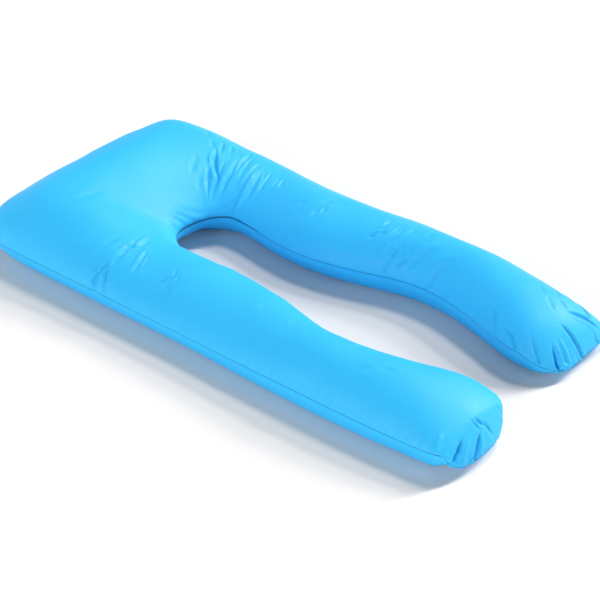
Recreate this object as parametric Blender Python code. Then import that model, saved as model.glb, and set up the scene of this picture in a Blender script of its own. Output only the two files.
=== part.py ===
"""U-shaped body pillow: one filled cloth form, lying flat on a surface.

Two panels of cloth, a crowned top and a base panel, meet in one seam that runs all the way
round.  The head end is a broad square-cornered block and two long legs run from it towards -Y,
with a gap between them that ends in a round arch.  Metres, +Z up, the origin under the middle
of the pillow's box.  The leg at -X and the leg at +X lie a little differently, as real ones do.
"""

import math

import bmesh
import bpy
import numpy as np

# Driving dimensions
LENGTH = 1.46              # from the common line at the legs' ends to the head seam
LEG_LENGTH = 1.00          # from the same line to where the arch springs
ARCH_RISE = 0.065          # the arch's apex beyond its springing line
HEAD_CORNER = 12.0         # superellipse exponent of the head's square corners
SEAM_HEIGHT = 0.068        # the seam above the surface
END_SEAM_HEIGHT = 0.025    # the same at the legs' ends
CAP_LENGTH = 0.19          # over which the crown rises from a leg's end
CAP_EXPONENT = 0.6         # above 0.5, softer than a round nose
BASE_TURN_UP = 0.10        # over which the base comes down from a leg's end
BASE_FLAT = 0.68           # share of each section's width that lies flat
CROWN_POWER = 0.65         # below 1 the crown meets the seam steeply, as a full pillow's does
ARCH_CROWN_POWER = 1.5     # round the arch the seam's corner pulls it flatter
ARCH_STARTS = 1.1          # how far along that has come in full
CROWN_EXPONENT = (1.7, 1.95)   # on the legs and on the head
HEAD_STARTS = 0.8          # how far along the legs begin to widen into the head
HEAD_EASING = 30           # rounds of smoothing that level the crown over the head
EASING_SHARE = 0.5         # how far each round moves a point towards its neighbours' height
ROWS_ON_LEG = 36
ROWS_ON_HEAD = 17          # on each half of the head
ROW_CROWDING = 1.15        # above 1 the rows stand closer towards the legs' ends
ACROSS = 16                # facets across the crown, and as many across the base
FINE = 2000                # points on a curve before it is spaced out evenly
WELD = 0.00001
CLOTH_COLOUR = (0.02, 0.45, 0.92, 1.0)
CLOTH_ROUGHNESS = 0.65

# A row for each section of a leg: how far it is from the leg's end, and from the middle line to
# the seam beside the gap and to the outer seam.
LEG_SECTIONS = {
    "left": (
        (0.00, 0.110, 0.335),
        (0.10, 0.080, 0.345),
        (0.20, 0.110, 0.350),
        (0.32, 0.145, 0.352),
        (0.47, 0.150, 0.352),
        (0.62, 0.112, 0.352),
        (0.76, 0.090, 0.350),
        (0.88, 0.080, 0.350),
        (1.00, 0.070, 0.350),
    ),
    "right": (
        (0.00, 0.105, 0.350),
        (0.10, 0.080, 0.325),
        (0.20, 0.102, 0.335),
        (0.32, 0.140, 0.345),
        (0.47, 0.152, 0.355),
        (0.62, 0.112, 0.360),
        (0.76, 0.088, 0.355),
        (0.88, 0.095, 0.358),
        (1.00, 0.112, 0.366),
    ),
}
# A row for each leg: its side, how far its end lies past the common line, how big its corners are
# beside the gap and outside, and over what length from its end the seam rises to full height.
LEG_ENDS = {
    "left": (-1, 0.014, 0.036, 0.055, 0.030),
    "right": (1, 0.028, 0.060, 0.055, 0.100),
}
# A row for each height of the crown: how far along it is (0 a leg's end, 1 where the arch
# springs, 2 the head's middle) and how high it stands there.
CROWN = (
    (0.0, 0.140),
    (0.25, 0.155),
    (0.6, 0.153),
    (1.0, 0.165),
    (1.5, 0.236),
    (2.0, 0.256),
)


def smooth_through(knots, values, where):
    """A cubic spline through the values, level at its last knot."""
    knots = np.array(knots)
    values = np.array(values)
    steps = np.diff(knots)
    slopes = np.diff(values) / steps
    count = len(knots)
    matrix = np.zeros((count, count))
    right = np.zeros(count)
    matrix[0, 0] = 1.0
    for k in range(1, count - 1):
        matrix[k, k - 1] = steps[k - 1]
        matrix[k, k] = 2.0 * (steps[k - 1] + steps[k])
        matrix[k, k + 1] = steps[k]
        right[k] = 6.0 * (slopes[k] - slopes[k - 1])
    matrix[-1, -2] = steps[-1]
    matrix[-1, -1] = 2.0 * steps[-1]
    right[-1] = -6.0 * slopes[-1]
    bend = np.linalg.solve(matrix, right)
    where = np.asarray(where, dtype=float)
    k = np.clip(np.searchsorted(knots, where) - 1, 0, count - 2)
    d = where - knots[k]
    first = slopes[k] - steps[k] * (2.0 * bend[k] + bend[k + 1]) / 6.0
    third = (bend[k + 1] - bend[k]) / (6.0 * steps[k])
    return values[k] + first * d + 0.5 * bend[k] * d ** 2 + third * d ** 3


def evenly_spaced(line, count):
    """The same line with its points a constant distance apart."""
    steps = np.linalg.norm(np.diff(line, axis=0), axis=1)
    run = np.concatenate([[0.0], np.cumsum(steps)])
    at = np.linspace(0.0, run[-1], count)
    return np.column_stack([np.interp(at, run, line[:, axis]) for axis in range(line.shape[1])])


def corner(from_end, size):
    """How far a rounded corner of a leg's end stands in from the straight seam."""
    share = np.clip(1.0 - from_end / size, 0.0, 1.0)
    return size * (1.0 - np.sqrt(1.0 - share ** 2))


def seam_rows(name):
    """Matching points on a leg's inner and outer seam, then round its half of the head.

    Returns the inner points, the outer points, and how far along each row is: 0 at the leg's
    end, 1 where the arch springs, 2 on the head's centre line.
    """
    section_at, gap_edge, outer_edge = zip(*LEG_SECTIONS[name])
    _, end, gap_corner, outer_corner, _ = LEG_ENDS[name]
    share = np.linspace(0.0, 1.0, ROWS_ON_LEG) ** ROW_CROWDING
    from_end = share * (LEG_LENGTH - end)
    inner_x = smooth_through(section_at, gap_edge, share) + corner(from_end, gap_corner)
    outer_x = smooth_through(section_at, outer_edge, share) - corner(from_end, outer_corner)
    inner = np.column_stack([inner_x, end + from_end])
    outer = np.column_stack([outer_x, end + from_end])
    turn = np.linspace(0.0, math.pi / 2.0, FINE)
    arch = np.column_stack([gap_edge[-1] * np.cos(turn), LEG_LENGTH + ARCH_RISE * np.sin(turn)])
    power = 2.0 / HEAD_CORNER
    rim_x = outer_edge[-1] * np.clip(np.cos(turn), 0.0, 1.0) ** power
    rim_y = LEG_LENGTH + (LENGTH - LEG_LENGTH) * np.sin(turn) ** power
    arch = evenly_spaced(arch, ROWS_ON_HEAD)[1:]
    rim = evenly_spaced(np.column_stack([rim_x, rim_y]), ROWS_ON_HEAD)[1:]
    along = np.concatenate([share, 1.0 + np.linspace(0.0, 1.0, ROWS_ON_HEAD)[1:]])
    return np.vstack([inner, arch]), np.vstack([outer, rim]), along


def section_plan(inner, outer, across, side):
    """Where the points of every section stand, seen from above."""
    half = (outer - inner) / 2.0
    plan = (inner + outer)[:, None] / 2.0 + across[None, :, None] * half[:, None]
    plan[:, :, 0] *= side
    return plan


def sections(name):
    """Rows of points over the crown and under the base, each from the inner to the outer seam."""
    inner, outer, along = seam_rows(name)
    side, end, _, _, seam_run = LEG_ENDS[name]
    crown = smooth_through(*zip(*CROWN), along)
    from_end = np.where(along < 1.0, inner[:, 1] - end, LENGTH)
    seam = np.interp(from_end, [0.0, seam_run], [END_SEAM_HEIGHT, SEAM_HEIGHT])
    cap = (1.0 - (1.0 - np.clip(from_end / CAP_LENGTH, 0.0, 1.0)) ** 2) ** CAP_EXPONENT
    base_lift = np.clip(1.0 - from_end / BASE_TURN_UP, 0.0, 1.0) ** 2
    exponent = np.interp(along, [HEAD_STARTS, 2.0], CROWN_EXPONENT)
    arch_power = np.interp(along, [HEAD_STARTS, ARCH_STARTS], [CROWN_POWER, ARCH_CROWN_POWER])

    across = np.sin(np.linspace(-math.pi / 2.0, math.pi / 2.0, ACROSS + 1))
    power = np.where(across[None] < 0.0, arch_power[:, None], CROWN_POWER)
    profile = (1.0 - np.abs(across)[None] ** exponent[:, None]) ** power
    top = seam[:, None] + ((crown - seam) * cap)[:, None] * profile
    side_lift = np.clip((np.abs(across) - BASE_FLAT) / (1.0 - BASE_FLAT), 0.0, 1.0) ** 2
    base = seam[:, None] * np.maximum(side_lift[None], base_lift[:, None])
    plan = section_plan(inner, outer, across, side)
    return np.dstack([plan, top]), np.dstack([plan, base]), along


def remove_scene_objects():
    for item in list(bpy.data.objects):
        bpy.data.objects.remove(item, do_unlink=True)


def cloth_material():
    material = bpy.data.materials.new("pillow_cloth")
    material.use_nodes = True
    shader = material.node_tree.nodes["Principled BSDF"]
    shader.inputs["Base Color"].default_value = CLOTH_COLOUR
    shader.inputs["Roughness"].default_value = CLOTH_ROUGHNESS
    shader.inputs["Metallic"].default_value = 0.0
    return material


def pillow_rows():
    """Rows over the top and the base, from the left leg's end round the head to the right's."""
    left_top, left_base, left_along = sections("left")
    right_top, right_base, right_along = sections("right")
    top = np.concatenate([left_top, right_top[-2::-1]])
    base = np.concatenate([left_base, right_base[-2::-1]])
    along = np.concatenate([left_along, right_along[-2::-1]])
    points = np.concatenate([top.reshape(-1, 3), base.reshape(-1, 3)])
    middle = (points.min(axis=0) + points.max(axis=0)) / 2.0
    for rows in (top, base):
        rows[:, :, :2] -= middle[:2]
    return top, base, along


def build_pillow():
    top, base, along = pillow_rows()
    shape = bmesh.new()
    loops = []
    head_crown = []
    for top_row, base_row, how_far in zip(top, base, along):
        corners = [shape.verts.new(point) for point in np.vstack([top_row, base_row[-2:0:-1]])]
        pairs = zip(corners, corners[1:] + corners[:1])
        loops.append([shape.edges.new(pair) for pair in pairs])
        if how_far > HEAD_STARTS:
            head_crown += corners[1:ACROSS]
    for before, after in zip(loops, loops[1:]):
        bmesh.ops.bridge_loops(shape, edges=before + after)
    for _ in range(HEAD_EASING):
        bmesh.ops.smooth_vert(shape, verts=head_crown, factor=EASING_SHARE, use_axis_z=True)
    # At a leg's end the crown and the base come together in the end seam.
    bmesh.ops.remove_doubles(shape, verts=shape.verts, dist=WELD)
    bmesh.ops.triangulate(shape, faces=shape.faces)
    bmesh.ops.recalc_face_normals(shape, faces=shape.faces)
    mesh = bpy.data.meshes.new("pillow")
    shape.to_mesh(mesh)
    shape.free()
    mesh.shade_smooth()
    pillow = bpy.data.objects.new("pillow", mesh)
    bpy.context.scene.collection.objects.link(pillow)
    pillow.data.materials.append(cloth_material())
    return pillow


remove_scene_objects()
build_pillow()
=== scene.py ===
"""The looks of a U-shaped body pillow: its filled cloth cover, seam, gathers, folds and cloth."""

import math

import bmesh
import bpy
import numpy as np
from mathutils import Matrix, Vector, noise
from mathutils.kdtree import KDTree


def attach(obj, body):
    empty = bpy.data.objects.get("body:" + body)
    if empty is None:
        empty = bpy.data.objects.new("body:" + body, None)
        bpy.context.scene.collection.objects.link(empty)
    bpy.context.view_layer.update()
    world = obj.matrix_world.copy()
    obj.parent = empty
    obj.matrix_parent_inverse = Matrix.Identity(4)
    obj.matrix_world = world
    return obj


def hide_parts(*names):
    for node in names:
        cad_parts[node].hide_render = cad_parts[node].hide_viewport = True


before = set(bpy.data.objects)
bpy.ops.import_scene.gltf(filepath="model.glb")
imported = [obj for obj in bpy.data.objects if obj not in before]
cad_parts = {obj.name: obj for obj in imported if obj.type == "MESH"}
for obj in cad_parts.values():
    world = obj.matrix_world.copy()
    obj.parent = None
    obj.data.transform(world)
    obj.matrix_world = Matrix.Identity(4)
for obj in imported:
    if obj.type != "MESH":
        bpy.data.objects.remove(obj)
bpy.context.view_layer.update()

# The cover's cut.  Two U-shaped panels of woven cloth, a crowned top and a base, are sewn together
# all round.  Its sections run like a ladder's rungs from the left leg's end round the head to the
# right leg's, each from the seam beside the gap (-1) to the outer seam (+1).  Sizes are in metres.
LENGTH = 1.46              # from the common line at the legs' ends to the head seam
LEG_LENGTH = 1.00          # from the same line to where the arch springs
ARCH_RISE = 0.065          # the arch's top beyond its springing line
HEAD_CORNER = 12.0         # superellipse exponent of the head's square corners
SEAM_HEIGHT = 0.068        # the seam above the floor
END_SEAM_HEIGHT = 0.025    # the same at the legs' ends
CAP_LENGTH = 0.19          # over which the crown rises from a leg's end
CAP_EXPONENT = 0.6         # above 0.5, softer than a round nose
BASE_TURN_UP = 0.10        # over which the base comes down from a leg's end, and its bow fades
BASE_FLAT = 0.68           # share of each section's width that lies flat
CROWN_POWER = 0.65         # below 1 the crown meets the seam steeply, as a full pillow's does
ARCH_CROWN_POWER = 1.5     # round the arch the seam's corner pulls it flatter
CROWN_EXPONENT = (1.7, 1.95)   # on the legs and on the head
HEAD_STARTS = 0.8          # how far along the legs begin to widen into the head
ARCH_STARTS = 1.0          # how far along the arch's flatter crown has come in full
# A row for each section of a leg: how far it is from the leg's end, and from the middle line to
# the seam beside the gap and to the outer seam.
LEG_SECTIONS = {
    "left": (
        (0.00, 0.110, 0.335),
        (0.10, 0.080, 0.345),
        (0.20, 0.110, 0.350),
        (0.32, 0.145, 0.352),
        (0.47, 0.150, 0.352),
        (0.62, 0.112, 0.352),
        (0.76, 0.090, 0.350),
        (0.88, 0.080, 0.350),
        (1.00, 0.070, 0.350),
    ),
    "right": (
        (0.00, 0.105, 0.350),
        (0.10, 0.080, 0.325),
        (0.20, 0.102, 0.335),
        (0.32, 0.140, 0.345),
        (0.47, 0.152, 0.355),
        (0.62, 0.112, 0.360),
        (0.76, 0.088, 0.355),
        (0.88, 0.095, 0.358),
        (1.00, 0.112, 0.366),
    ),
}
# A row for each leg: its side, how far its end lies past the common line, how big its corners are
# beside the gap and outside, over what length from its end the seam rises to full height, and how
# far the filling bows the end outwards.
LEG_ENDS = {
    "left": (-1, 0.014, 0.056, 0.055, 0.030, 0.010),
    "right": (1, 0.028, 0.060, 0.055, 0.100, 0.0),
}
# A row for each height of the crown: how far along it is (0 a leg's end, 1 where the arch
# springs, 2 the head's middle) and how high it stands there.
CROWN = (
    (0.0, 0.140),
    (0.25, 0.155),
    (0.6, 0.153),
    (1.0, 0.165),
    (1.5, 0.242),
    (2.0, 0.264),
)
ROWS_ON_LEG = 114
ROWS_ON_HEAD = 46          # on each half of the head
ACROSS = 42                # cells across the top panel
UNDER = 10                 # cells across the base
RING = ACROSS + UNDER      # points in a section's whole ring
FINE = 2000                # points on a curve before it is spaced out evenly
TINY = 0.00001             # nearer than this to the seam or the floor counts as on it
HIP_BLUR = 0.040           # over what distance the crown is blurred on the head
HIP_FROM_SEAM = 0.15       # and how far from a seam that is done in full
HEAD_EASING = 240          # rounds of smoothing that level the crown over the head
EASING_SHARE = 0.5         # how far each round moves a point towards its neighbours' mean
EASING_RUN = 0.2           # how much further along the levelling has come in full


def smooth_through(knots, values, where):
    """A cubic spline through the values, level at its last knot."""
    knots = np.array(knots)
    values = np.array(values)
    steps = np.diff(knots)
    slopes = np.diff(values) / steps
    count = len(knots)
    matrix = np.zeros((count, count))
    right = np.zeros(count)
    matrix[0, 0] = 1.0
    for k in range(1, count - 1):
        matrix[k, k - 1] = steps[k - 1]
        matrix[k, k] = 2.0 * (steps[k - 1] + steps[k])
        matrix[k, k + 1] = steps[k]
        right[k] = 6.0 * (slopes[k] - slopes[k - 1])
    matrix[-1, -2] = steps[-1]
    matrix[-1, -1] = 2.0 * steps[-1]
    right[-1] = -6.0 * slopes[-1]
    bend = np.linalg.solve(matrix, right)
    where = np.asarray(where, dtype=float)
    k = np.clip(np.searchsorted(knots, where) - 1, 0, count - 2)
    d = where - knots[k]
    first = slopes[k] - steps[k] * (2.0 * bend[k] + bend[k + 1]) / 6.0
    third = (bend[k + 1] - bend[k]) / (6.0 * steps[k])
    return values[k] + first * d + 0.5 * bend[k] * d ** 2 + third * d ** 3


def evenly_spaced(line, count):
    """The same line with its points a constant distance apart."""
    steps = np.linalg.norm(np.diff(line, axis=0), axis=1)
    run = np.concatenate([[0.0], np.cumsum(steps)])
    at = np.linspace(0.0, run[-1], count)
    return np.column_stack([np.interp(at, run, line[:, axis]) for axis in range(line.shape[1])])


def smooth_step(share):
    """0 to 1 along a smooth S, and level beyond."""
    share = np.clip(share, 0.0, 1.0)
    return share * share * (3.0 - 2.0 * share)


def near_end(from_end, run):
    """1 at a leg's end, falling evenly to 0 at this run from it."""
    return np.clip(1.0 - from_end / run, 0.0, 1.0)


def rounded_corner(from_end, size):
    """How far a rounded corner of a leg's end stands in from the straight seam."""
    return size * (1.0 - np.sqrt(1.0 - near_end(from_end, size) ** 2))


def cap_rise(from_end):
    """The share of the crown's height that it has reached at a distance from a leg's end."""
    return (1.0 - near_end(from_end, CAP_LENGTH) ** 2) ** CAP_EXPONENT


def row_shares(length):
    """Where the rows of a leg of this length stand, evenly spaced over its crown."""
    from_end = np.linspace(0.0, length, FINE)
    rise = (CROWN[0][1] - END_SEAM_HEIGHT) * cap_rise(from_end)
    return evenly_spaced(np.column_stack([from_end, rise]), ROWS_ON_LEG)[:, 0] / length


def seam_rows(name):
    """Matching points on the inner and outer seam, and how far along each row is."""
    section_at, gap_edge, outer_edge = zip(*LEG_SECTIONS[name])
    _, end, gap_corner, outer_corner, _, _ = LEG_ENDS[name]
    share = row_shares(LEG_LENGTH - end)
    from_end = share * (LEG_LENGTH - end)
    inner_x = smooth_through(section_at, gap_edge, share) + rounded_corner(from_end, gap_corner)
    outer_x = smooth_through(section_at, outer_edge, share) - rounded_corner(from_end, outer_corner)
    inner = np.column_stack([inner_x, end + from_end])
    outer = np.column_stack([outer_x, end + from_end])
    turn = np.linspace(0.0, math.pi / 2.0, FINE)
    arch = np.column_stack([gap_edge[-1] * np.cos(turn), LEG_LENGTH + ARCH_RISE * np.sin(turn)])
    power = 2.0 / HEAD_CORNER
    rim_x = outer_edge[-1] * np.clip(np.cos(turn), 0.0, 1.0) ** power
    rim_y = LEG_LENGTH + (LENGTH - LEG_LENGTH) * np.sin(turn) ** power
    arch = evenly_spaced(arch, ROWS_ON_HEAD)[1:]
    rim = evenly_spaced(np.column_stack([rim_x, rim_y]), ROWS_ON_HEAD)[1:]
    along = np.concatenate([share, 1.0 + np.linspace(0.0, 1.0, ROWS_ON_HEAD)[1:]])
    return np.vstack([inner, arch]), np.vstack([outer, rim]), along


def sections(name):
    """Rows of points over the crown and under the base, each from the inner to the outer seam."""
    inner, outer, along = seam_rows(name)
    side, end, _, _, seam_run, end_bow = LEG_ENDS[name]
    crown = smooth_through(*zip(*CROWN), along)
    from_end = np.where(along < 1.0, inner[:, 1] - end, LENGTH)
    seam = np.interp(from_end, [0.0, seam_run], [END_SEAM_HEIGHT, SEAM_HEIGHT])
    base_lift = near_end(from_end, BASE_TURN_UP) ** 2
    bow = end_bow * base_lift
    rows = []
    for cells in (ACROSS, UNDER):
        across = np.sin(np.linspace(-math.pi / 2.0, math.pi / 2.0, cells + 1))
        plan = (inner + outer)[:, None] / 2.0 + across[None, :, None] * (outer - inner)[:, None] / 2.0
        plan[:, :, 0] *= side
        plan[:, :, 1] -= bow[:, None] * (1.0 - across ** 2)
        rows.append((across, plan))
    (across, plan), (across_under, plan_under) = rows
    exponent = np.interp(along, [HEAD_STARTS, 2.0], CROWN_EXPONENT)
    arch_power = np.interp(along, [HEAD_STARTS, ARCH_STARTS], [CROWN_POWER, ARCH_CROWN_POWER])
    power = np.where(across[None] < 0.0, arch_power[:, None], CROWN_POWER)
    profile = (1.0 - np.abs(across)[None] ** exponent[:, None]) ** power
    top = seam[:, None] + ((crown - seam) * cap_rise(from_end))[:, None] * profile
    side_lift = np.clip((np.abs(across_under) - BASE_FLAT) / (1.0 - BASE_FLAT), 0.0, 1.0) ** 2
    base = seam[:, None] * np.maximum(side_lift[None], base_lift[:, None])
    return np.dstack([plan, top]), np.dstack([plan_under, base]), along


left_top, left_base, left_along = sections("left")
right_top, right_base, right_along = sections("right")
top_rows = np.concatenate([left_top, right_top[-2::-1]])
base_rows = np.concatenate([left_base, right_base[-2::-1]])
row_along = np.concatenate([left_along, right_along[-2::-1]])
seam_points = top_rows[:, (0, -1)].reshape(-1, 3)
middle = (seam_points.min(axis=0) + seam_points.max(axis=0)) / 2.0
for rows in (top_rows, base_rows):
    rows[:, :, :2] -= middle[:2]
rings = np.concatenate([top_rows, base_rows[:, -2:0:-1]], axis=1)


def along_rows(points):
    """The distance along each row of points from its first point."""
    steps = np.linalg.norm(np.diff(points, axis=1), axis=2)
    return np.concatenate([np.zeros((len(points), 1)), np.cumsum(steps, axis=1)], axis=1)


def to_nearest_seam(points):
    """The distance over the cloth from each point to the nearest seam, at the sides or the ends."""
    sideways = along_rows(points)
    lengthways = along_rows(points.swapaxes(0, 1)).T
    from_sides = np.minimum(sideways, sideways[:, -1:] - sideways)
    from_ends = np.minimum(lengthways, lengthways[-1:] - lengthways)
    return np.minimum(from_sides, from_ends)


def plan_of_cloth(points):
    """Where each point was on the flat cloth: its section unrolled either way from its middle."""
    run = along_rows(points)
    run -= run[:, -1:] / 2.0
    ends = points[:, -1, :2] - points[:, 0, :2]
    direction = ends / np.linalg.norm(ends, axis=1)[:, None]
    centre = (points[:, -1, :2] + points[:, 0, :2]) / 2.0
    return centre[:, None] + run[:, :, None] * direction[:, None]


def level_hips(corners, from_seam, along):
    """Blurs the height over the plan, so that no hip runs from the gap to the head's corners."""
    plan = np.array([corner.co.xy for corner in corners])
    height = np.array([corner.co.z for corner in corners])
    from_edge = np.array([corner[from_seam] for corner in corners])
    on_head = (along - HEAD_STARTS) / (1.0 - HEAD_STARTS)
    share = np.clip(from_edge / HIP_FROM_SEAM, 0.0, 1.0) ** 2 * np.clip(on_head, 0.0, 1.0)
    for corner, here, own in zip(corners, plan, share):
        away = ((plan - here) ** 2).sum(axis=1)
        weight = np.exp(-away / HIP_BLUR ** 2)
        corner.co.z += own * ((weight * height).sum() / weight.sum() - corner.co.z)


def sew_rings(skin, ring_place, from_seam):
    """Bridges the sections' rings into one closed skin, and marks each point with its place."""
    # Distance over the cloth to the nearest seam: above zero on the top, below zero on the base.
    over = to_nearest_seam(top_rows)
    under = -to_nearest_seam(base_rows)
    seam_distance = np.concatenate([over, under[:, -2:0:-1]], axis=1)
    before = None
    for row, ring in enumerate(rings):
        # Row 0 and the last are a leg's end seam, where the base runs onto the crown's own edge.
        end_seam = row in (0, len(rings) - 1)
        used = ring[:ACROSS + 1] if end_seam else ring
        corners = [skin.verts.new(point) for point in used]
        for k, corner in enumerate(corners):
            corner[ring_place] = row * RING + k
            corner[from_seam] = 0.0 if end_seam else seam_distance[row, k]
        top = [skin.edges.new(pair) for pair in zip(corners[:ACROSS + 1], corners[1:ACROSS + 1])]
        below = [] if end_seam else zip(corners[ACROSS:], corners[ACROSS + 1:] + corners[:1])
        base = [skin.edges.new(pair) for pair in below]
        after = (top, top if end_seam else base)
        if before:
            for old, new in zip(before, after):
                bmesh.ops.bridge_loops(skin, edges=old + new)
        before = after


def level_head(skin, ring_place, from_seam):
    """Levels the crown over the head, gradually, so that no line is left across the legs."""
    head = []
    head_along = []
    for corner in skin.verts:
        how_far = row_along[corner[ring_place] // RING]
        if corner[from_seam] > TINY and how_far > HEAD_STARTS:
            head.append(corner)
            head_along.append(how_far)
    head_along = np.array(head_along)
    cut_height = [corner.co.z for corner in head]
    for _ in range(HEAD_EASING):
        bmesh.ops.smooth_vert(skin, verts=head, factor=EASING_SHARE, use_axis_z=True)
    level_hips(head, from_seam, head_along)
    come_in = smooth_step((head_along - HEAD_STARTS) / EASING_RUN)
    for corner, height, share in zip(head, cut_height, come_in):
        corner.co.z = height + share * (corner.co.z - height)


def lay_weave(skin, ring_place):
    """Gives the skin the cloth's own coordinates, in metres of cloth, for the weave to follow."""
    weave = skin.loops.layers.uv.new("cloth")
    top_plan = plan_of_cloth(top_rows)
    for face in skin.faces:
        on_base = any(loop.vert[ring_place] % RING > ACROSS for loop in face.loops)
        for loop in face.loops:
            row, k = divmod(loop.vert[ring_place], RING)
            loop[weave].uv = loop.vert.co.xy if on_base else top_plan[row, k]


def cover_mesh():
    """The cut cover as one closed skin, with its place in the cut kept on every point."""
    skin = bmesh.new()
    ring_place = skin.verts.layers.int.new("ring_place")
    from_seam = skin.verts.layers.float.new("from_seam")
    sew_rings(skin, ring_place, from_seam)
    level_head(skin, ring_place, from_seam)
    bmesh.ops.recalc_face_normals(skin, faces=skin.faces)
    lay_weave(skin, ring_place)
    mesh = bpy.data.meshes.new("cover")
    skin.to_mesh(mesh)
    skin.free()
    return mesh


cover = bpy.data.objects.new("cover", cover_mesh())
bpy.context.scene.collection.objects.link(cover)

# The filling.  Loose fibre presses the cover outwards while the seam holds it and the floor bears
# it, which rounds the crown between its rows.  Blender's cloth simulation does this; the broad
# swelling is kept small, so that the pillow stays the size it was cut.
FILL_PRESSURE = 4.0
FILL_FRAMES = 20
FILL_QUALITY = 5           # the simulation's steps in each frame
CLOTH_MASS = 0.01          # of each point of the cloth
AIR_DAMPING = 1.0
STRETCH_STIFFNESS = 30.0   # against being stretched and being pressed together
SHEAR_STIFFNESS = 8.0
BENDING_STIFFNESS = 0.05
FARTHEST_MOVE = 0.008      # no point moves further than this
SHAKE = 0.0006             # uneven filling, which starts small dents here and there
SHAKE_SEED = 4
BROAD_KEEP = 0.3           # share of the broad swelling that stays
DENT_ROUNDS = 8            # rounds of averaging that take out the grid's own small ripples
BROAD_ROUNDS = 60          # rounds of averaging that part the broad swelling from the dents


def read_points(mesh):
    points = np.zeros(len(mesh.vertices) * 3)
    mesh.vertices.foreach_get("co", points)
    return points.reshape(-1, 3)


def write_points(mesh, points):
    mesh.vertices.foreach_set("co", points.astype(np.float32).ravel())
    mesh.update()


def seam_distances(mesh):
    distances = np.zeros(len(mesh.vertices))
    mesh.attributes["from_seam"].data.foreach_get("value", distances)
    return distances


def relax(points, mesh, rounds):
    """Moves every point towards the mean of its neighbours, the given number of times."""
    ends = np.zeros(len(mesh.edges) * 2, dtype=np.int32)
    mesh.edges.foreach_get("vertices", ends)
    first, second = ends.reshape(-1, 2).T
    count = np.bincount(first, minlength=len(points)) + np.bincount(second, minlength=len(points))
    for _ in range(rounds):
        total = np.zeros_like(points)
        for axis in range(points.shape[1]):
            total[:, axis] += np.bincount(first, points[second, axis], len(points))
            total[:, axis] += np.bincount(second, points[first, axis], len(points))
        points = (1.0 - EASING_SHARE) * points + EASING_SHARE * total / count[:, None]
    return points


def fill_cover():
    """Fills the cover with the simulation, and keeps the part of the swelling that is wanted."""
    cut = read_points(cover.data)
    fixed = (np.abs(seam_distances(cover.data)) < TINY) | (cut[:, 2] < TINY)
    held = cover.vertex_groups.new(name="held")
    held.add(np.nonzero(fixed)[0].tolist(), 1.0, "REPLACE")
    shake = np.random.default_rng(SHAKE_SEED).normal(0.0, SHAKE, cut.shape)
    shake[fixed] = 0.0
    write_points(cover.data, cut + shake)
    cloth = cover.modifiers.new("filling", "CLOTH")
    cloth.settings.quality = FILL_QUALITY
    cloth.settings.mass = CLOTH_MASS
    cloth.settings.air_damping = AIR_DAMPING
    cloth.settings.tension_stiffness = STRETCH_STIFFNESS
    cloth.settings.compression_stiffness = STRETCH_STIFFNESS
    cloth.settings.shear_stiffness = SHEAR_STIFFNESS
    cloth.settings.bending_stiffness = BENDING_STIFFNESS
    cloth.settings.use_pressure = True
    cloth.settings.uniform_pressure_force = FILL_PRESSURE
    cloth.settings.vertex_group_mass = "held"
    cloth.settings.effector_weights.gravity = 0.0
    cloth.collision_settings.use_collision = False
    cloth.point_cache.frame_start = 1
    cloth.point_cache.frame_end = FILL_FRAMES
    scene = bpy.context.scene
    for step in range(1, FILL_FRAMES + 1):
        scene.frame_set(step)
    shown = cover.evaluated_get(bpy.context.evaluated_depsgraph_get())
    move = read_points(shown.data) - cut
    cover.modifiers.remove(cloth)
    cover.vertex_groups.clear()
    scene.frame_set(1)
    move = relax(move, cover.data, DENT_ROUNDS)
    broad = relax(move, cover.data, BROAD_ROUNDS)
    move = BROAD_KEEP * broad + (move - broad)
    length = np.linalg.norm(move, axis=1)
    move *= np.minimum(1.0, FARTHEST_MOVE / np.maximum(length, TINY))[:, None]
    move[fixed] = 0.0
    filled = cut + move
    filled[:, 2] = np.maximum(filled[:, 2], 0.0)
    write_points(cover.data, filled)


fill_cover()

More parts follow.
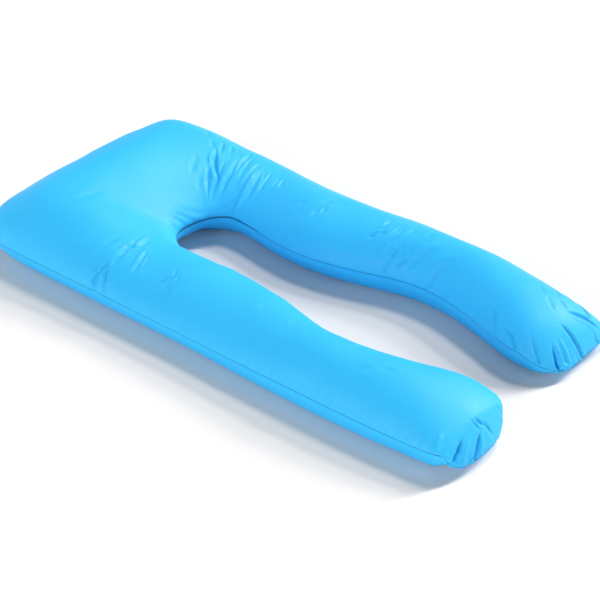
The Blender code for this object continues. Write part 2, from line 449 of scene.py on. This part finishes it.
# The folds.  Where the legs meet the head and at the gathered ends the cover is too full for its
# filling, so it creases.  Each fold is placed and sized one by one, in metres on the plan, as it lies
# on the real one: a soft trough with a lip on either side, or a ridge where its depth is negative.
FOLDS = (
    # from_x, from_y, to_x, to_y, bow, half_width, depth, lean
    # Fanning out over the far shoulder.
    (0.225, 0.428, 0.135, 0.338, -0.005, 0.0058, 0.0100, 0.8),
    (0.185, 0.405, 0.085, 0.335, -0.004, 0.0050, 0.0042, 0.2),
    (0.205, 0.378, 0.080, 0.326, 0.002, 0.0046, 0.0055, 0.4),
    (0.262, 0.370, 0.090, 0.314, 0.006, 0.0050, 0.0065, 0.5),
    (0.262, 0.436, 0.205, 0.394, 0.000, 0.0044, 0.0045, 0.3),
    (0.240, 0.462, 0.198, 0.420, 0.003, 0.0048, 0.0032, 0.0),
    (0.275, 0.415, 0.222, 0.378, 0.000, 0.0038, 0.0034, 0.0),
    (0.290, 0.360, 0.170, 0.328, 0.003, 0.0048, 0.0055, 0.4),
    (0.278, 0.340, 0.180, 0.316, 0.000, 0.0040, 0.0034, 0.0),
    (0.272, 0.320, 0.140, 0.296, 0.002, 0.0046, -0.0045, 0.0),
    (0.245, 0.302, 0.100, 0.264, 0.003, 0.0056, -0.0060, 0.6),
    (0.258, 0.288, 0.130, 0.254, 0.000, 0.0056, 0.0050, 0.0),
    (0.262, 0.266, 0.160, 0.240, 0.000, 0.0040, 0.0048, -0.4),
    (0.250, 0.276, 0.200, 0.258, 0.000, 0.0036, 0.0032, 0.0),
    (0.258, 0.236, 0.190, 0.218, 0.002, 0.0036, 0.0026, 0.0),
    (0.256, 0.218, 0.198, 0.201, 0.000, 0.0036, 0.0038, 0.3),
    (0.280, 0.505, 0.232, 0.464, 0.000, 0.0060, 0.0028, 0.0),
    # Round the notch in the near shoulder.
    (-0.300, 0.294, -0.356, 0.308, 0.003, 0.0036, 0.0125, 0.6),
    (-0.306, 0.292, -0.356, 0.270, -0.002, 0.0032, 0.0085, -0.3),
    (-0.318, 0.320, -0.350, 0.316, 0.000, 0.0032, 0.0040, 0.0),
    (-0.218, 0.326, -0.324, 0.352, 0.006, 0.0068, 0.0042, 0.0),
    (-0.205, 0.294, -0.334, 0.284, 0.006, 0.0050, 0.0070, 0.4),
    (-0.160, 0.290, -0.262, 0.268, -0.005, 0.0046, -0.0045, 0.2),
    (-0.180, 0.275, -0.240, 0.262, -0.002, 0.0040, 0.0032, 0.2),
    (-0.220, 0.254, -0.295, 0.234, 0.003, 0.0046, -0.0045, 0.2),
    (-0.228, 0.243, -0.312, 0.222, 0.003, 0.0046, 0.0045, 0.0),
    (-0.238, 0.225, -0.280, 0.212, 0.000, 0.0038, 0.0025, 0.0),
    # Gathered into the near leg's end.
    (-0.277, -0.703, -0.334, -0.714, 0.003, 0.0042, 0.0150, 0.5),
    (-0.300, -0.670, -0.348, -0.682, 0.000, 0.0060, -0.0040, 0.0),
    (-0.229, -0.713, -0.272, -0.730, 0.003, 0.0044, 0.0130, -0.5),
    (-0.256, -0.708, -0.304, -0.724, 0.000, 0.0055, -0.0035, 0.0),
    (-0.240, -0.688, -0.226, -0.716, -0.002, 0.0034, 0.0028, 0.2),
    (-0.229, -0.693, -0.203, -0.718, -0.002, 0.0036, 0.0050, 0.2),
    (-0.212, -0.703, -0.188, -0.726, -0.002, 0.0034, 0.0034, 0.2),
    (-0.146, -0.694, -0.130, -0.708, 0.000, 0.0034, 0.0026, 0.2),
    (-0.130, -0.700, -0.122, -0.714, 0.000, 0.0032, 0.0026, 0.2),
    # Gathered into the far leg's end, where the cloth also folds over beside the outer corner.
    (0.132, -0.660, 0.100, -0.760, -0.006, 0.0050, 0.0130, -0.6),
    (0.120, -0.678, 0.114, -0.760, 0.000, 0.0036, 0.0055, 0.3),
    (0.152, -0.664, 0.142, -0.760, 0.000, 0.0050, -0.0060, 0.0),
    (0.174, -0.648, 0.206, -0.760, 0.004, 0.0042, 0.0068, 0.3),
    (0.213, -0.640, 0.292, -0.700, 0.005, 0.0050, 0.0070, 0.3),
    (0.196, -0.688, 0.202, -0.760, 0.000, 0.0036, 0.0030, 0.0),
    (0.304, -0.608, 0.272, -0.686, 0.004, 0.0042, 0.0085, -0.3),
    (0.256, -0.688, 0.284, -0.760, 0.000, 0.0038, 0.0035, 0.2),
    (0.318, -0.655, 0.300, -0.696, 0.000, 0.0040, 0.0045, 0.0),
    (0.110, -0.615, 0.072, -0.690, 0.000, 0.0046, 0.0062, 0.3),
    (0.102, -0.552, 0.064, -0.620, 0.003, 0.0044, 0.0050, 0.3),
    (0.134, -0.505, 0.085, -0.540, 0.000, 0.0040, 0.0045, 0.3),
    # The far leg's crown, and the back of the head.
    (0.196, -0.212, 0.160, -0.198, 0.000, 0.0036, 0.0035, 0.2),
    (0.230, -0.290, 0.150, -0.232, 0.006, 0.0070, 0.0052, 0.3),
    (0.215, -0.345, 0.150, -0.305, 0.000, 0.0070, 0.0046, 0.3),
    (0.160, -0.120, 0.120, -0.085, 0.000, 0.0044, 0.0028, 0.0),
    (0.020, 0.560, -0.090, 0.572, 0.006, 0.0110, 0.0028, 0.0),
    (-0.130, 0.470, -0.230, 0.500, 0.006, 0.0110, 0.0026, 0.0),
    (0.216, 0.660, 0.196, 0.715, 0.000, 0.0060, 0.0070, 0.3),
    (0.190, 0.676, 0.176, 0.716, 0.000, 0.0046, 0.0045, 0.0),
    (0.236, 0.676, 0.226, 0.716, 0.000, 0.0046, 0.0038, 0.0),
)
# Smaller creases lie in loose clusters, each about its own middle and running roughly one way.
CLUSTERS = (
    # x, y, spread_x, spread_y, count, heading, turn, length, half_width, depth
    (-0.265, 0.125, 0.030, 0.026, 8, 176.0, 18.0, 0.036, 0.0034, 0.0038),
    (-0.205, 0.275, 0.030, 0.020, 6, 165.0, 15.0, 0.040, 0.0034, 0.0036),
    (-0.250, -0.190, 0.045, 0.070, 7, 150.0, 40.0, 0.060, 0.0085, 0.0018),
    (-0.235, -0.450, 0.045, 0.080, 6, 130.0, 40.0, 0.060, 0.0085, 0.0016),
    (0.215, -0.190, 0.040, 0.080, 18, 150.0, 25.0, 0.040, 0.0040, 0.0038),
    (0.230, 0.060, 0.040, 0.060, 8, 165.0, 30.0, 0.045, 0.0050, 0.0032),
    (0.130, 0.400, 0.060, 0.040, 5, 215.0, 15.0, 0.070, 0.0070, 0.0022),
    (0.260, -0.560, 0.045, 0.050, 7, 240.0, 25.0, 0.050, 0.0050, 0.0034),
)
CLUSTER_SEED = 11
CREASE_RUN = (0.6, 1.3)    # shortest and longest crease, as shares of its cluster's length
CREASE_DEPTH = (0.5, 1.3)  # the same for its depth
CREASE_LEAN = (-0.4, 0.4)  # and how far it leans either way
FOLD_STEP = 0.002          # from one point of a fold's path to the next
SHORTEST_STEP = 0.0008     # a path that has come to the seam stops there
PATH_NEIGHBOURS = 4        # how many of the cloth's points a point of a path is taken from
PATH_ROUNDS = 12           # rounds of averaging that smooth a path
CREASE_POWER = 1.4         # below 2 the bottom of a fold is a sharp crease
LIP = 0.24                 # a lip's height as a share of the trough's depth
LIP_PLACE = 1.9            # and how many half widths it stands to the side
LEAN_WIDTH = 0.5           # how much broader a leaning fold is on the side of its higher lip
FOLD_REACH = 4.0           # half widths beyond which a fold leaves the cloth alone
FADE = 0.4                 # share of a fold's length over which either end runs out
NARROWEST = 0.5            # how narrow a fold is where it runs out, as a share of its width
WANDER = 0.0022            # how far a fold strays from its line
WANDER_LENGTH = 0.030      # and over what length it does so
WANDER_APART = 40.0        # keeps folds that start close together from straying alike
NEAR_SEAM = 0.012          # a fold that ends this near the seam runs into it
DEPTH_AT_SEAM = 0.18       # and that share of its depth is left there
FINER_WITHIN = 2.2         # half widths of a fold within which the cloth is divided once more
EASE_FROM_SEAM = 0.004     # nearer the seam than this the finer cloth isn't smoothed
EASE_ROUNDS = 4            # rounds of smoothing that even out the rest of it
FOLD_ROUNDS = 3            # rounds of averaging that ease the folds where they meet the seam


def read_normals(mesh):
    normals = np.zeros(len(mesh.vertices) * 3)
    mesh.vertex_normals.foreach_get("vector", normals)
    return normals.reshape(-1, 3)


def cluster_rows():
    """A row as in FOLDS for each crease of each cluster."""
    chance = np.random.default_rng(CLUSTER_SEED)
    rows = []
    for x, y, spread_x, spread_y, count, heading, turn, length, half_width, depth in CLUSTERS:
        for _ in range(count):
            from_x = x + spread_x * chance.uniform(-1.0, 1.0)
            from_y = y + spread_y * chance.uniform(-1.0, 1.0)
            angle = math.radians(heading + turn * chance.uniform(-1.0, 1.0))
            run = length * chance.uniform(*CREASE_RUN)
            to_x = from_x + run * math.cos(angle)
            to_y = from_y + run * math.sin(angle)
            deep = depth * chance.uniform(*CREASE_DEPTH)
            lean = chance.uniform(*CREASE_LEAN)
            rows.append((from_x, from_y, to_x, to_y, 0.0, half_width, deep, lean))
    return rows


def fold_path(row, tree, points):
    """Points along the fold on the cloth, from its first end to its last."""
    from_x, from_y, to_x, to_y, bow = row[:5]
    length = math.hypot(to_x - from_x, to_y - from_y)
    side_x = (from_y - to_y) / length
    side_y = (to_x - from_x) / length
    path = []
    for share in np.linspace(0.0, 1.0, int(length / FOLD_STEP) + 2):
        here = Vector((share * length / WANDER_LENGTH, from_x * WANDER_APART, from_y * WANDER_APART))
        # The bow is a parabola, as high at the fold's middle as its row says.
        aside = 4.0 * bow * share * (1.0 - share) + WANDER * noise.noise(here)
        x = from_x + share * (to_x - from_x) + aside * side_x
        y = from_y + share * (to_y - from_y) + aside * side_y
        nearest = tree.find_n(Vector((x, y, 0.0)), PATH_NEIGHBOURS)
        weight = np.array([1.0 / (distance + FOLD_STEP) for _, _, distance in nearest])
        around = points[[index for _, index, _ in nearest]]
        point = (weight[:, None] * around).sum(axis=0) / weight.sum()
        if not path or np.linalg.norm(point - path[-1]) > SHORTEST_STEP:
            path.append(point)
    path = np.array(path)
    for _ in range(PATH_ROUNDS):
        path[1:-1] = (path[:-2] + 2.0 * path[1:-1] + path[2:]) / 4.0
    return path


def points_near(path, points, reach):
    """Which points lie in the path's box, widened all round by the reach."""
    low = path.min(axis=0) - reach
    high = path.max(axis=0) + reach
    return np.nonzero(((points > low) & (points < high)).all(axis=1))[0]


def press_fold(row, path, points, normals, seam_distance, move):
    """Adds one fold to the cloth's move: a trough along its path, with a lip on either side."""
    half_width, depth, lean = row[5:]
    near = points_near(path, points, FOLD_REACH * half_width)
    gap = points[near][:, None] - path[None]
    distance = np.linalg.norm(gap, axis=2)
    nearest = distance.argmin(axis=1)
    each = np.arange(len(near))
    tangent = np.gradient(path, axis=0)
    tangent /= np.linalg.norm(tangent, axis=1)[:, None]
    sideways = np.cross(tangent[nearest], normals[near])
    side = np.sign((gap[each, nearest] * sideways).sum(axis=1))
    share = nearest / (len(path) - 1.0)
    strength = smooth_step(share / FADE)
    ends_at_seam = seam_distance[near[distance[:, -1].argmin()]] < NEAR_SEAM
    if not ends_at_seam:
        strength = strength * smooth_step((1.0 - share) / FADE)
    held = smooth_step(np.abs(seam_distance[near]) / NEAR_SEAM)
    strength = strength * (DEPTH_AT_SEAM + (1.0 - DEPTH_AT_SEAM) * held)
    width = half_width * (NARROWEST + (1.0 - NARROWEST) * strength)
    width = width * (1.0 + LEAN_WIDTH * lean * side)
    across_fold = side * distance[each, nearest] / width
    shape = np.exp(-np.abs(across_fold) ** CREASE_POWER)
    shape -= LIP * (1.0 + lean) * np.exp(-(across_fold - LIP_PLACE) ** 2)
    shape -= LIP * (1.0 - lean) * np.exp(-(across_fold + LIP_PLACE) ** 2)
    move[near] -= (depth * shape * strength)[:, None] * normals[near]


# The filled cover is divided once all over, and the folds' paths are laid on its top panel.
finer = cover.modifiers.new("finer", "SUBSURF")
finer.levels = 1
finer.render_levels = 1
shown = cover.evaluated_get(bpy.context.evaluated_depsgraph_get())
smooth_cover = bpy.data.meshes.new_from_object(shown)
cover.modifiers.clear()
cover.data = smooth_cover
points = read_points(cover.data)
seam_distance = seam_distances(cover.data)
tree = KDTree(len(points))
for index in np.nonzero(seam_distance >= 0.0)[0]:
    tree.insert((points[index, 0], points[index, 1], 0.0), index)
tree.balance()
fold_rows = list(FOLDS) + cluster_rows()
paths = [fold_path(row, tree, points) for row in fold_rows]

# The cloth is divided once more beside the folds, so that they have enough points to be sharp.
beside = np.zeros(len(points), dtype=bool)
for row, path in zip(fold_rows, paths):
    half_width = row[5]
    near = points_near(path, points, FINER_WITHIN * half_width)
    gap = np.linalg.norm(points[near][:, None] - path[None], axis=2).min(axis=1)
    beside[near[gap < FINER_WITHIN * half_width]] = True
skin = bmesh.new()
skin.from_mesh(cover.data)
skin.verts.ensure_lookup_table()
wanted = {skin.verts[index] for index in np.nonzero(beside)[0]}
edges = [edge for edge in skin.edges if edge.verts[0] in wanted and edge.verts[1] in wanted]
made = bmesh.ops.subdivide_edges(skin, edges=edges, cuts=1, use_grid_fill=True)
new_corners = [part for part in made["geom"] if isinstance(part, bmesh.types.BMVert)]
from_seam = skin.verts.layers.float["from_seam"]
eased = [corner for corner in new_corners if abs(corner[from_seam]) > EASE_FROM_SEAM]
every_way = {"use_axis_x": True, "use_axis_y": True, "use_axis_z": True}
for _ in range(EASE_ROUNDS):
    bmesh.ops.smooth_vert(skin, verts=eased, factor=EASING_SHARE, **every_way)
skin.to_mesh(cover.data)
skin.free()

# The folds are pressed in.  Close to the seam their moves are averaged, so that its edge stays even.
points = read_points(cover.data)
normals = read_normals(cover.data)
seam_distance = seam_distances(cover.data)
move = np.zeros_like(points)
for row, path in zip(fold_rows, paths):
    press_fold(row, path, points, normals, seam_distance, move)
clear_of_seam = smooth_step(np.abs(seam_distance) / NEAR_SEAM)[:, None]
folded = points + clear_of_seam * move
folded += (1.0 - clear_of_seam) * relax(move, cover.data, FOLD_ROUNDS)
folded[:, 2] = np.maximum(folded[:, 2], 0.0)
write_points(cover.data, folded)

# The seam.  It is stitched from inside, so it lies in a narrow ditch, and the thread draws the
# cloth up into small uneven puckers on either side of it.
DITCH_DEPTH = 0.0026
DITCH_HALF_WIDTH = 0.0020
PUCKER_REACH = 0.016       # a pucker is deepest at half this distance from the seam
PUCKER_DEPTH = 0.0013      # and half this deep there
PUCKER_SPACING = 0.021     # from one to the next on the legs' seams
HEAD_PUCKERS = 0.55        # how many the head's seam has for one on the same length of a leg's
PUCKER_DRIFTS = ((1.7, 0.31), (0.8, 0.13))   # how far, and how fast, the spacing drifts
POCKETS = (
    # x, from_y, to_y, from_seam, depth, half_width: where a panel is sunk beside its seam
    (0.115, 0.060, 0.240, -0.010, 0.0065, 0.0080),
    (0.125, -0.640, -0.390, -0.010, 0.0060, 0.0080),
    (-0.350, 0.288, 0.312, 0.000, 0.0050, 0.0040),
    (-0.088, 0.140, 0.330, 0.024, 0.0140, 0.0260),
)
POCKET_SIDE = 0.09         # how far from its x a pocket still counts as on that seam
POCKET_FADE = 0.45         # share of a pocket's length over which either end runs out
points = read_points(cover.data)
normals = read_normals(cover.data)
seam_distance = seam_distances(cover.data)
far_out = np.abs(seam_distance)
sunk = DITCH_DEPTH * np.exp(-(far_out / DITCH_HALF_WIDTH) ** 2)
for x, from_y, to_y, middle_at, depth, half_width in POCKETS:
    share = np.clip((points[:, 1] - from_y) / (to_y - from_y), 0.0, 1.0)
    strength = smooth_step(share / POCKET_FADE) * smooth_step((1.0 - share) / POCKET_FADE)
    strength[np.abs(points[:, 0] - x) > POCKET_SIDE] = 0.0
    sunk += depth * strength * np.exp(-((seam_distance - middle_at) / half_width) ** 2)
run = 2.0 * math.pi / PUCKER_SPACING * (points[:, 0] * HEAD_PUCKERS + points[:, 1])
phase = run
for swing, pace in PUCKER_DRIFTS:
    phase = phase + swing * np.sin(pace * run)
share = far_out / PUCKER_REACH
sunk += PUCKER_DEPTH * np.sin(phase) * share * np.exp(1.0 - 2.0 * share)

# The crown's unevenness.  Loose fibre never lies quite level, so the crown swells and sinks
# softly between the folds, less and less towards the seam, which holds it down.
LUMP_SIZE = 0.085
LUMP_HEIGHT = 0.0028
LUMPS_FROM_SEAM = 0.05     # how far from the seam they reach their full height
lumps = np.array([noise.noise(Vector(point / LUMP_SIZE)) for point in points])
sunk -= LUMP_HEIGHT * lumps * smooth_step(seam_distance / LUMPS_FROM_SEAM)
write_points(cover.data, points - sunk[:, None] * normals)

cover.data.shade_smooth()
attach(cover, "root")
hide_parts("pillow")

# The cloth: closely woven, dyed bright sky blue, with a faint sheen.  The weave and its uneven
# threads follow the cloth's own coordinates, and along the seam's ditch a deeper blue is painted
# shade.
THREAD = 0.0011            # from one thread to the next
THREAD_UNEVENNESS = 0.6    # how far the threads stray
SLUB = 0.012               # length of a brighter or deeper stretch of a thread
SLUB_STRETCH = 9.0         # and how many times longer than wide it is
SLUB_SHADES = (0.75, 1.25)     # sums of the two noises that give the deep and the bright blue
SEAM_SHADE = 0.0013        # how far from the seam the painted shade of its ditch reaches
WEAVE_DEPTH = 0.0004
CLOTH_BLUE = (0.030, 0.52, 0.94, 1.0)
CLOTH_DEEP = (0.022, 0.46, 0.91, 1.0)
# Painted shade: the deeper blue laid along the seam's ditch, where the crown's edge shades it.
PAINTED_SEAM_SHADE = (0.005, 0.12, 0.28, 1.0)


def maths(tree, operation, *values):
    """The outcome of a Math node that works on these outputs."""
    node = tree.nodes.new("ShaderNodeMath")
    node.operation = operation
    for socket, value in zip(node.inputs, values):
        tree.links.new(value, socket)
    return node.outputs["Value"]


def weave_group():
    """Node group: the height of a plain weave and a colour share from its uneven threads."""
    group = bpy.data.node_groups.new("weave", "ShaderNodeTree")
    group.interface.new_socket(name="Cloth", in_out="INPUT", socket_type="NodeSocketVector")
    group.interface.new_socket(name="Height", in_out="OUTPUT", socket_type="NodeSocketFloat")
    group.interface.new_socket(name="Shade", in_out="OUTPUT", socket_type="NodeSocketFloat")
    nodes = group.nodes
    links = group.links
    source = nodes.new("NodeGroupInput")
    result = nodes.new("NodeGroupOutput")
    waves = []
    for direction in ("X", "Y"):
        wave = nodes.new("ShaderNodeTexWave")
        wave.bands_direction = direction
        # At this scale a wave is nearly two threads long, one that goes over and one under.
        wave.inputs["Scale"].default_value = 0.5 / THREAD / math.pi
        wave.inputs["Distortion"].default_value = THREAD_UNEVENNESS
        wave.inputs["Detail"].default_value = 1.0
        links.new(source.outputs["Cloth"], wave.inputs["Vector"])
        waves.append(wave.outputs["Fac"])
    links.new(maths(group, "MULTIPLY", *waves), result.inputs["Height"])
    slubs = []
    for stretch in ((1.0, SLUB_STRETCH, 1.0), (SLUB_STRETCH, 1.0, 1.0)):
        turned = nodes.new("ShaderNodeMapping")
        turned.inputs["Scale"].default_value = stretch
        links.new(source.outputs["Cloth"], turned.inputs["Vector"])
        slub = nodes.new("ShaderNodeTexNoise")
        slub.inputs["Scale"].default_value = 1.0 / SLUB
        slub.inputs["Detail"].default_value = 2.0
        links.new(turned.outputs["Vector"], slub.inputs["Vector"])
        slubs.append(slub.outputs["Fac"])
    spread = nodes.new("ShaderNodeMapRange")
    spread.inputs["From Min"].default_value = SLUB_SHADES[0]
    spread.inputs["From Max"].default_value = SLUB_SHADES[1]
    links.new(maths(group, "ADD", *slubs), spread.inputs["Value"])
    links.new(spread.outputs["Result"], result.inputs["Shade"])
    return group


cloth_look = bpy.data.materials.new("cover_cloth")
cloth_look.use_nodes = True
nodes = cloth_look.node_tree.nodes
links = cloth_look.node_tree.links
shader = nodes["Principled BSDF"]
shader.inputs["Roughness"].default_value = 0.55
shader.inputs["Specular IOR Level"].default_value = 0.35
shader.inputs["Sheen Weight"].default_value = 0.03
shader.inputs["Sheen Roughness"].default_value = 0.4
cloth_place = nodes.new("ShaderNodeUVMap")
cloth_place.uv_map = "cloth"
weave = nodes.new("ShaderNodeGroup")
weave.node_tree = weave_group()
links.new(cloth_place.outputs["UV"], weave.inputs["Cloth"])
dye = nodes.new("ShaderNodeMix")
dye.data_type = "RGBA"
dye.inputs["A"].default_value = CLOTH_DEEP
dye.inputs["B"].default_value = CLOTH_BLUE
links.new(weave.outputs["Shade"], dye.inputs["Factor"])
# The seam's painted shade: a deeper blue mixed in within SEAM_SHADE of the seam, standing in for the
# ditch's shadow.
seam_place = nodes.new("ShaderNodeAttribute")
seam_place.attribute_name = "from_seam"
to_seam = maths(cloth_look.node_tree, "ABSOLUTE", seam_place.outputs["Fac"])
seam_shade_share = nodes.new("ShaderNodeMapRange")
seam_shade_share.interpolation_type = "SMOOTHSTEP"
seam_shade_share.inputs["From Max"].default_value = SEAM_SHADE
seam_shade_share.inputs["To Min"].default_value = 1.0
seam_shade_share.inputs["To Max"].default_value = 0.0
links.new(to_seam, seam_shade_share.inputs["Value"])
dye_and_seam_shade = nodes.new("ShaderNodeMix")
dye_and_seam_shade.data_type = "RGBA"
dye_and_seam_shade.inputs["B"].default_value = PAINTED_SEAM_SHADE
links.new(seam_shade_share.outputs["Result"], dye_and_seam_shade.inputs["Factor"])
links.new(dye.outputs["Result"], dye_and_seam_shade.inputs["A"])
links.new(dye_and_seam_shade.outputs["Result"], shader.inputs["Base Color"])
raised = nodes.new("ShaderNodeBump")
raised.inputs["Strength"].default_value = 0.15
raised.inputs["Distance"].default_value = WEAVE_DEPTH
links.new(weave.outputs["Height"], raised.inputs["Height"])
links.new(raised.outputs["Normal"], shader.inputs["Normal"])
cover.data.materials.append(cloth_look)

# Floor and light.  A plain pale floor under a soft studio: a tall strip lamp at the far leg's
# side, made of three suns one above the other, throws shadows that are sharp at their sides and
# soft at their far ends.  A lamp overhead and wide fills on the other sides lift the rest.
FLOOR_SIZE = 30.0
FLOOR_COLOUR = (0.88, 0.85, 0.83, 1.0)
SKY_COLOUR = (1.0, 1.0, 1.0, 1.0)
SKY_STRENGTH = 0.07
LAMPS = (
    # name, direction from +X towards +Y, height above the floor, width (all degrees), strength
    ("key_low", -18.0, 26.0, 8.0, 1.1),
    ("key", -18.0, 35.0, 8.0, 1.1),
    ("key_high", -18.0, 45.0, 8.0, 1.0),
    ("top", 0.0, 64.0, 15.0, 1.15),
    ("left_fill", 180.0, 15.0, 40.0, 2.3),
    ("front_fill", 270.0, 22.0, 45.0, 0.5),
    ("back_fill", 90.0, 22.0, 45.0, 0.5),
)
bpy.ops.mesh.primitive_plane_add(size=FLOOR_SIZE, location=(0.0, 0.0, 0.0))
floor = bpy.context.object
floor.name = "floor"
floor_look = bpy.data.materials.new("floor")
floor_look.use_nodes = True
floor_shader = floor_look.node_tree.nodes["Principled BSDF"]
floor_shader.inputs["Base Color"].default_value = FLOOR_COLOUR
floor_shader.inputs["Roughness"].default_value = 0.9
floor.data.materials.append(floor_look)

world = bpy.data.worlds.new("studio")
bpy.context.scene.world = world
world.use_nodes = True
sky = world.node_tree.nodes["Background"]
sky.inputs["Color"].default_value = SKY_COLOUR
sky.inputs["Strength"].default_value = SKY_STRENGTH

for name, direction, height, width, strength in LAMPS:
    lamp = bpy.data.lights.new(name, "SUN")
    lamp.energy = strength
    lamp.angle = math.radians(width)
    lamp_object = bpy.data.objects.new(name, lamp)
    bpy.context.scene.collection.objects.link(lamp_object)
    turn = math.radians(direction)
    rise = math.radians(height)
    outwards = math.cos(rise)
    towards = Vector((math.cos(turn) * outwards, math.sin(turn) * outwards, math.sin(rise)))
    lamp_object.rotation_euler = towards.to_track_quat("Z", "Y").to_euler()

# The camera, at the photo's viewing angle.  It stands beyond the legs' ends, out to the near
# leg's side, and looks down at the pillow's middle.
AZIMUTH = -50.5            # degrees from straight in front of the legs' ends
ELEVATION = 33.5           # degrees above the floor
DISTANCE = 3.87
LENS = 99.3                # millimetres
SENSOR_WIDTH = 36.0        # the same
TARGET = Vector((-0.087, -0.11, 0.08))
turn = math.radians(AZIMUTH)
rise = math.radians(ELEVATION)
back = Vector((math.sin(turn) * math.cos(rise), -math.cos(turn) * math.cos(rise), math.sin(rise)))
camera_data = bpy.data.cameras.new("camera")
camera_data.sensor_width = SENSOR_WIDTH
camera_data.lens = LENS
camera = bpy.data.objects.new("camera", camera_data)
bpy.context.scene.collection.objects.link(camera)
camera.location = TARGET + DISTANCE * back
camera.rotation_euler = (-back).to_track_quat("-Z", "Y").to_euler()
bpy.context.scene.camera = camera
bpy.context.scene.view_settings.view_transform = "Standard"
